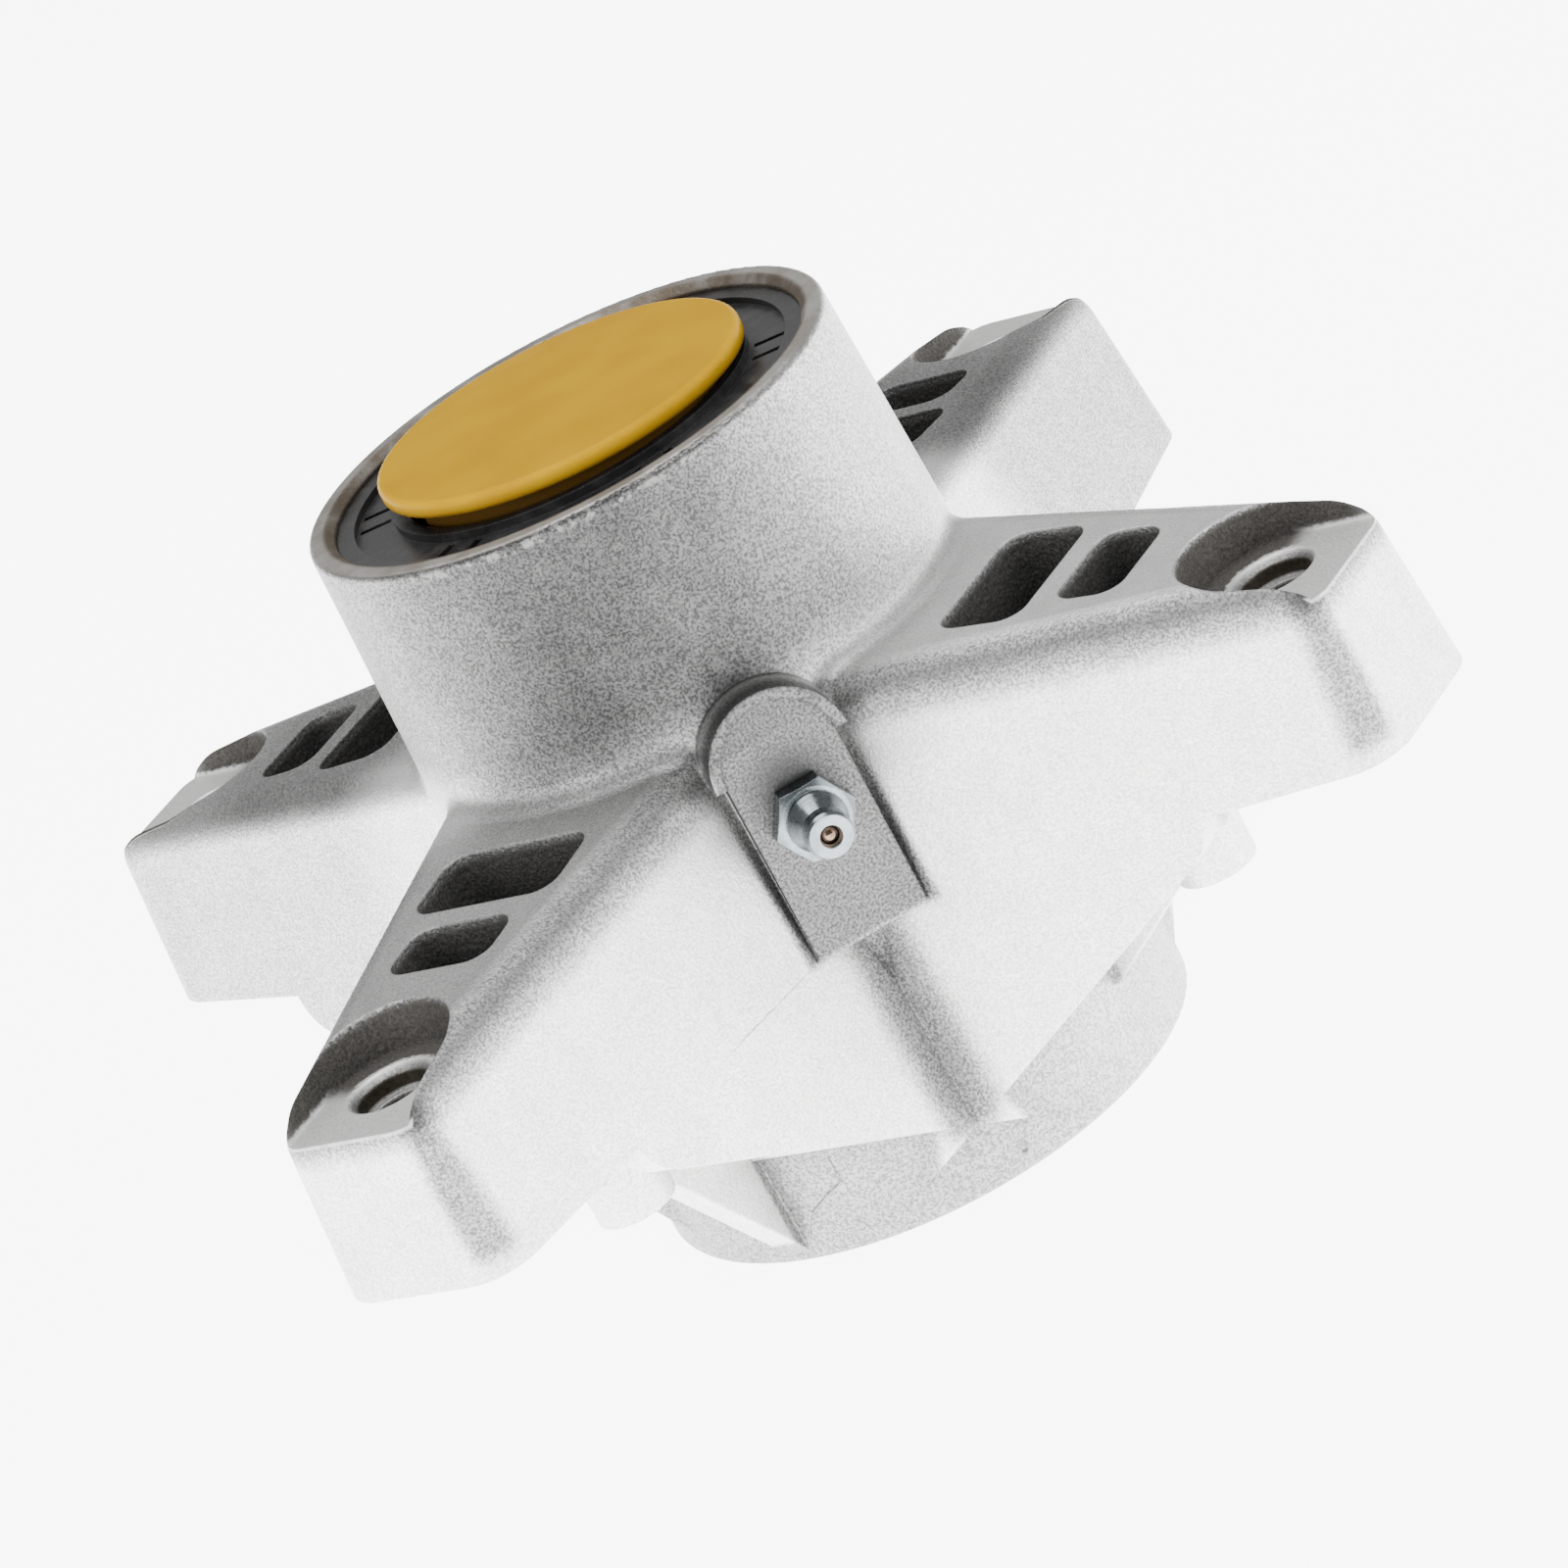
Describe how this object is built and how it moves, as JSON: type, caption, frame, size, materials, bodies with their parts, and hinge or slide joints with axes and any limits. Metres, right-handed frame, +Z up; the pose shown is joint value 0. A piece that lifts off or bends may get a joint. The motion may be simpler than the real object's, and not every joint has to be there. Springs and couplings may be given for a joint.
{
  "type": "mower deck spindle",
  "caption": "Mower deck spindle: cast housing with crossed arms, tapered roller bearings, lip seals, push-in transport plugs and a grease fitting",
  "frame": {"origin": "centre of the lower hub's rim, on the spindle axis, at the plane it stands on", "axes": "+Z up along the spindle axis to the plug; the grease fitting points along -Y; the four arms lie at 45 degrees to X and Y"},
  "size_m": [0.1626, 0.1626, 0.1138],
  "materials": {
    "cast_aluminium": "bead-blasted as cast",
    "bearing_steel": "ground",
    "cage_steel": "pressed",
    "spacer_steel": "turned",
    "seal_rubber": "glossy moulded",
    "spring_steel": "drawn wire",
    "plug_plastic": "satin moulded",
    "zinc_plate": "turned and zinc plated",
    "ball_steel": "polished"
  },
  "bodies": {
    "housing": {"housing": "cast_aluminium", "upper_bearing_cup": "bearing_steel", "lower_bearing_cup": "bearing_steel", "upper_seal": "seal_rubber", "lower_seal": "seal_rubber", "upper_seal_spring": "spring_steel", "lower_seal_spring": "spring_steel", "grease_fitting_body": "zinc_plate", "grease_check_spring": "spring_steel"},
    "rotor": {"upper_bearing_cone": "bearing_steel", "lower_bearing_cone": "bearing_steel", "bearing_spacer": "spacer_steel"},
    "upper_cage": {"upper_bearing_cage": "cage_steel"},
    "lower_cage": {"lower_bearing_cage": "cage_steel"},
    "check_ball": {"grease_check_ball": "ball_steel"},
    "top_plug": {"top_plug": "plug_plastic"},
    "bottom_plug": {"bottom_plug": "plug_plastic"},
    "upper_roller_01": {"upper_roller_01": "bearing_steel"},
    "upper_roller_02": {"upper_roller_02": "bearing_steel"},
    "upper_roller_03": {"upper_roller_03": "bearing_steel"},
    "upper_roller_04": {"upper_roller_04": "bearing_steel"},
    "upper_roller_05": {"upper_roller_05": "bearing_steel"},
    "upper_roller_06": {"upper_roller_06": "bearing_steel"},
    "upper_roller_07": {"upper_roller_07": "bearing_steel"},
    "upper_roller_08": {"upper_roller_08": "bearing_steel"},
    "upper_roller_09": {"upper_roller_09": "bearing_steel"},
    "upper_roller_10": {"upper_roller_10": "bearing_steel"},
    "upper_roller_11": {"upper_roller_11": "bearing_steel"},
    "upper_roller_12": {"upper_roller_12": "bearing_steel"},
    "upper_roller_13": {"upper_roller_13": "bearing_steel"},
    "upper_roller_14": {"upper_roller_14": "bearing_steel"},
    "upper_roller_15": {"upper_roller_15": "bearing_steel"},
    "upper_roller_16": {"upper_roller_16": "bearing_steel"},
    "upper_roller_17": {"upper_roller_17": "bearing_steel"},
    "lower_roller_01": {"lower_roller_01": "bearing_steel"},
    "lower_roller_02": {"lower_roller_02": "bearing_steel"},
    "lower_roller_03": {"lower_roller_03": "bearing_steel"},
    "lower_roller_04": {"lower_roller_04": "bearing_steel"},
    "lower_roller_05": {"lower_roller_05": "bearing_steel"},
    "lower_roller_06": {"lower_roller_06": "bearing_steel"},
    "lower_roller_07": {"lower_roller_07": "bearing_steel"},
    "lower_roller_08": {"lower_roller_08": "bearing_steel"},
    "lower_roller_09": {"lower_roller_09": "bearing_steel"},
    "lower_roller_10": {"lower_roller_10": "bearing_steel"},
    "lower_roller_11": {"lower_roller_11": "bearing_steel"},
    "lower_roller_12": {"lower_roller_12": "bearing_steel"},
    "lower_roller_13": {"lower_roller_13": "bearing_steel"},
    "lower_roller_14": {"lower_roller_14": "bearing_steel"},
    "lower_roller_15": {"lower_roller_15": "bearing_steel"},
    "lower_roller_16": {"lower_roller_16": "bearing_steel"},
    "lower_roller_17": {"lower_roller_17": "bearing_steel"}
  },
  "joints": [
    {"name": "rotor_spin", "type": "hinge", "parent": "housing", "child": "rotor", "pos_m": [0, 0, 0.05], "axis": [0, 0, 1], "continuous": true},
    {"name": "upper_cage_spin", "type": "hinge", "parent": "housing", "child": "upper_cage", "pos_m": [0, 0, 0.09062], "axis": [0, 0, 1], "continuous": true},
    {"name": "upper_roller_01_spin", "type": "hinge", "parent": "upper_cage", "child": "upper_roller_01", "pos_m": [0.0229, 0, 0.09062], "axis": [0.2206, 0, 0.9754], "continuous": true},
    {"name": "upper_roller_02_spin", "type": "hinge", "parent": "upper_cage", "child": "upper_roller_02", "pos_m": [0.02135, 0.00827, 0.09062], "axis": [0.2057, 0.0797, 0.9754], "continuous": true},
    {"name": "upper_roller_03_spin", "type": "hinge", "parent": "upper_cage", "child": "upper_roller_03", "pos_m": [0.01692, 0.01543, 0.09062], "axis": [0.163, 0.1486, 0.9754], "continuous": true},
    {"name": "upper_roller_04_spin", "type": "hinge", "parent": "upper_cage", "child": "upper_roller_04", "pos_m": [0.01021, 0.0205, 0.09062], "axis": [0.0983, 0.1974, 0.9754], "continuous": true},
    {"name": "upper_roller_05_spin", "type": "hinge", "parent": "upper_cage", "child": "upper_roller_05", "pos_m": [0.00211, 0.0228, 0.09062], "axis": [0.0204, 0.2196, 0.9754], "continuous": true},
    {"name": "upper_roller_06_spin", "type": "hinge", "parent": "upper_cage", "child": "upper_roller_06", "pos_m": [-0.00627, 0.02203, 0.09062], "axis": [-0.0604, 0.2122, 0.9754], "continuous": true},
    {"name": "upper_roller_07_spin", "type": "hinge", "parent": "upper_cage", "child": "upper_roller_07", "pos_m": [-0.0138, 0.01827, 0.09062], "axis": [-0.1329, 0.176, 0.9754], "continuous": true},
    {"name": "upper_roller_08_spin", "type": "hinge", "parent": "upper_cage", "child": "upper_roller_08", "pos_m": [-0.01947, 0.01206, 0.09062], "axis": [-0.1875, 0.1161, 0.9754], "continuous": true},
    {"name": "upper_roller_09_spin", "type": "hinge", "parent": "upper_cage", "child": "upper_roller_09", "pos_m": [-0.02251, 0.00421, 0.09062], "axis": [-0.2168, 0.0405, 0.9754], "continuous": true},
    {"name": "upper_roller_10_spin", "type": "hinge", "parent": "upper_cage", "child": "upper_roller_10", "pos_m": [-0.02251, -0.00421, 0.09062], "axis": [-0.2168, -0.0405, 0.9754], "continuous": true},
    {"name": "upper_roller_11_spin", "type": "hinge", "parent": "upper_cage", "child": "upper_roller_11", "pos_m": [-0.01947, -0.01206, 0.09062], "axis": [-0.1875, -0.1161, 0.9754], "continuous": true},
    {"name": "upper_roller_12_spin", "type": "hinge", "parent": "upper_cage", "child": "upper_roller_12", "pos_m": [-0.0138, -0.01827, 0.09062], "axis": [-0.1329, -0.176, 0.9754], "continuous": true},
    {"name": "upper_roller_13_spin", "type": "hinge", "parent": "upper_cage", "child": "upper_roller_13", "pos_m": [-0.00627, -0.02203, 0.09062], "axis": [-0.0604, -0.2122, 0.9754], "continuous": true},
    {"name": "upper_roller_14_spin", "type": "hinge", "parent": "upper_cage", "child": "upper_roller_14", "pos_m": [0.00211, -0.0228, 0.09062], "axis": [0.0204, -0.2196, 0.9754], "continuous": true},
    {"name": "upper_roller_15_spin", "type": "hinge", "parent": "upper_cage", "child": "upper_roller_15", "pos_m": [0.01021, -0.0205, 0.09062], "axis": [0.0983, -0.1974, 0.9754], "continuous": true},
    {"name": "upper_roller_16_spin", "type": "hinge", "parent": "upper_cage", "child": "upper_roller_16", "pos_m": [0.01692, -0.01543, 0.09062], "axis": [0.163, -0.1486, 0.9754], "continuous": true},
    {"name": "upper_roller_17_spin", "type": "hinge", "parent": "upper_cage", "child": "upper_roller_17", "pos_m": [0.02135, -0.00827, 0.09062], "axis": [0.2057, -0.0797, 0.9754], "continuous": true},
    {"name": "lower_cage_spin", "type": "hinge", "parent": "housing", "child": "lower_cage", "pos_m": [0, 0, 0.02407], "axis": [0, 0, 1], "continuous": true},
    {"name": "lower_roller_01_spin", "type": "hinge", "parent": "lower_cage", "child": "lower_roller_01", "pos_m": [0.0229, 0, 0.02407], "axis": [-0.2206, 0, 0.9754], "continuous": true},
    {"name": "lower_roller_02_spin", "type": "hinge", "parent": "lower_cage", "child": "lower_roller_02", "pos_m": [0.02135, -0.00827, 0.02407], "axis": [-0.2057, 0.0797, 0.9754], "continuous": true},
    {"name": "lower_roller_03_spin", "type": "hinge", "parent": "lower_cage", "child": "lower_roller_03", "pos_m": [0.01692, -0.01543, 0.02407], "axis": [-0.163, 0.1486, 0.9754], "continuous": true},
    {"name": "lower_roller_04_spin", "type": "hinge", "parent": "lower_cage", "child": "lower_roller_04", "pos_m": [0.01021, -0.0205, 0.02407], "axis": [-0.0983, 0.1974, 0.9754], "continuous": true},
    {"name": "lower_roller_05_spin", "type": "hinge", "parent": "lower_cage", "child": "lower_roller_05", "pos_m": [0.00211, -0.0228, 0.02407], "axis": [-0.0204, 0.2196, 0.9754], "continuous": true},
    {"name": "lower_roller_06_spin", "type": "hinge", "parent": "lower_cage", "child": "lower_roller_06", "pos_m": [-0.00627, -0.02203, 0.02407], "axis": [0.0604, 0.2122, 0.9754], "continuous": true},
    {"name": "lower_roller_07_spin", "type": "hinge", "parent": "lower_cage", "child": "lower_roller_07", "pos_m": [-0.0138, -0.01827, 0.02407], "axis": [0.1329, 0.176, 0.9754], "continuous": true},
    {"name": "lower_roller_08_spin", "type": "hinge", "parent": "lower_cage", "child": "lower_roller_08", "pos_m": [-0.01947, -0.01206, 0.02407], "axis": [0.1875, 0.1161, 0.9754], "continuous": true},
    {"name": "lower_roller_09_spin", "type": "hinge", "parent": "lower_cage", "child": "lower_roller_09", "pos_m": [-0.02251, -0.00421, 0.02407], "axis": [0.2168, 0.0405, 0.9754], "continuous": true},
    {"name": "lower_roller_10_spin", "type": "hinge", "parent": "lower_cage", "child": "lower_roller_10", "pos_m": [-0.02251, 0.00421, 0.02407], "axis": [0.2168, -0.0405, 0.9754], "continuous": true},
    {"name": "lower_roller_11_spin", "type": "hinge", "parent": "lower_cage", "child": "lower_roller_11", "pos_m": [-0.01947, 0.01206, 0.02407], "axis": [0.1875, -0.1161, 0.9754], "continuous": true},
    {"name": "lower_roller_12_spin", "type": "hinge", "parent": "lower_cage", "child": "lower_roller_12", "pos_m": [-0.0138, 0.01827, 0.02407], "axis": [0.1329, -0.176, 0.9754], "continuous": true},
    {"name": "lower_roller_13_spin", "type": "hinge", "parent": "lower_cage", "child": "lower_roller_13", "pos_m": [-0.00627, 0.02203, 0.02407], "axis": [0.0604, -0.2122, 0.9754], "continuous": true},
    {"name": "lower_roller_14_spin", "type": "hinge", "parent": "lower_cage", "child": "lower_roller_14", "pos_m": [0.00211, 0.0228, 0.02407], "axis": [-0.0204, -0.2196, 0.9754], "continuous": true},
    {"name": "lower_roller_15_spin", "type": "hinge", "parent": "lower_cage", "child": "lower_roller_15", "pos_m": [0.01021, 0.0205, 0.02407], "axis": [-0.0983, -0.1974, 0.9754], "continuous": true},
    {"name": "lower_roller_16_spin", "type": "hinge", "parent": "lower_cage", "child": "lower_roller_16", "pos_m": [0.01692, 0.01543, 0.02407], "axis": [-0.163, -0.1486, 0.9754], "continuous": true},
    {"name": "lower_roller_17_spin", "type": "hinge", "parent": "lower_cage", "child": "lower_roller_17", "pos_m": [0.02135, 0.00827, 0.02407], "axis": [-0.2057, -0.0797, 0.9754], "continuous": true},
    {"name": "check_ball_slide", "type": "slide", "parent": "housing", "child": "check_ball", "axis": [0, 1, 0], "range_m": [0, 0.0008], "stiffness_N_per_m": 15, "springref_m": -0.0005, "deforming": ["grease_check_spring"]},
    {"name": "top_plug_pull", "type": "slide", "parent": "housing", "child": "top_plug", "axis": [0, 0, 1], "range_m": [0, 0.04]},
    {"name": "bottom_plug_pull", "type": "slide", "parent": "housing", "child": "bottom_plug", "axis": [0, 0, -1], "range_m": [0, 0.04]}
  ],
  "couplings": [
    {"joint": "upper_cage_spin", "follows": "rotor_spin", "ratio": 0.43824},
    {"joint": "upper_roller_01_spin", "follows": "rotor_spin", "ratio": -3.888},
    {"joint": "upper_roller_02_spin", "follows": "rotor_spin", "ratio": -3.888},
    {"joint": "upper_roller_03_spin", "follows": "rotor_spin", "ratio": -3.888},
    {"joint": "upper_roller_04_spin", "follows": "rotor_spin", "ratio": -3.888},
    {"joint": "upper_roller_05_spin", "follows": "rotor_spin", "ratio": -3.888},
    {"joint": "upper_roller_06_spin", "follows": "rotor_spin", "ratio": -3.888},
    {"joint": "upper_roller_07_spin", "follows": "rotor_spin", "ratio": -3.888},
    {"joint": "upper_roller_08_spin", "follows": "rotor_spin", "ratio": -3.888},
    {"joint": "upper_roller_09_spin", "follows": "rotor_spin", "ratio": -3.888},
    {"joint": "upper_roller_10_spin", "follows": "rotor_spin", "ratio": -3.888},
    {"joint": "upper_roller_11_spin", "follows": "rotor_spin", "ratio": -3.888},
    {"joint": "upper_roller_12_spin", "follows": "rotor_spin", "ratio": -3.888},
    {"joint": "upper_roller_13_spin", "follows": "rotor_spin", "ratio": -3.888},
    {"joint": "upper_roller_14_spin", "follows": "rotor_spin", "ratio": -3.888},
    {"joint": "upper_roller_15_spin", "follows": "rotor_spin", "ratio": -3.888},
    {"joint": "upper_roller_16_spin", "follows": "rotor_spin", "ratio": -3.888},
    {"joint": "upper_roller_17_spin", "follows": "rotor_spin", "ratio": -3.888},
    {"joint": "lower_cage_spin", "follows": "rotor_spin", "ratio": 0.43824},
    {"joint": "lower_roller_01_spin", "follows": "rotor_spin", "ratio": -3.888},
    {"joint": "lower_roller_02_spin", "follows": "rotor_spin", "ratio": -3.888},
    {"joint": "lower_roller_03_spin", "follows": "rotor_spin", "ratio": -3.888},
    {"joint": "lower_roller_04_spin", "follows": "rotor_spin", "ratio": -3.888},
    {"joint": "lower_roller_05_spin", "follows": "rotor_spin", "ratio": -3.888},
    {"joint": "lower_roller_06_spin", "follows": "rotor_spin", "ratio": -3.888},
    {"joint": "lower_roller_07_spin", "follows": "rotor_spin", "ratio": -3.888},
    {"joint": "lower_roller_08_spin", "follows": "rotor_spin", "ratio": -3.888},
    {"joint": "lower_roller_09_spin", "follows": "rotor_spin", "ratio": -3.888},
    {"joint": "lower_roller_10_spin", "follows": "rotor_spin", "ratio": -3.888},
    {"joint": "lower_roller_11_spin", "follows": "rotor_spin", "ratio": -3.888},
    {"joint": "lower_roller_12_spin", "follows": "rotor_spin", "ratio": -3.888},
    {"joint": "lower_roller_13_spin", "follows": "rotor_spin", "ratio": -3.888},
    {"joint": "lower_roller_14_spin", "follows": "rotor_spin", "ratio": -3.888},
    {"joint": "lower_roller_15_spin", "follows": "rotor_spin", "ratio": -3.888},
    {"joint": "lower_roller_16_spin", "follows": "rotor_spin", "ratio": -3.888},
    {"joint": "lower_roller_17_spin", "follows": "rotor_spin", "ratio": -3.888}
  ]
}
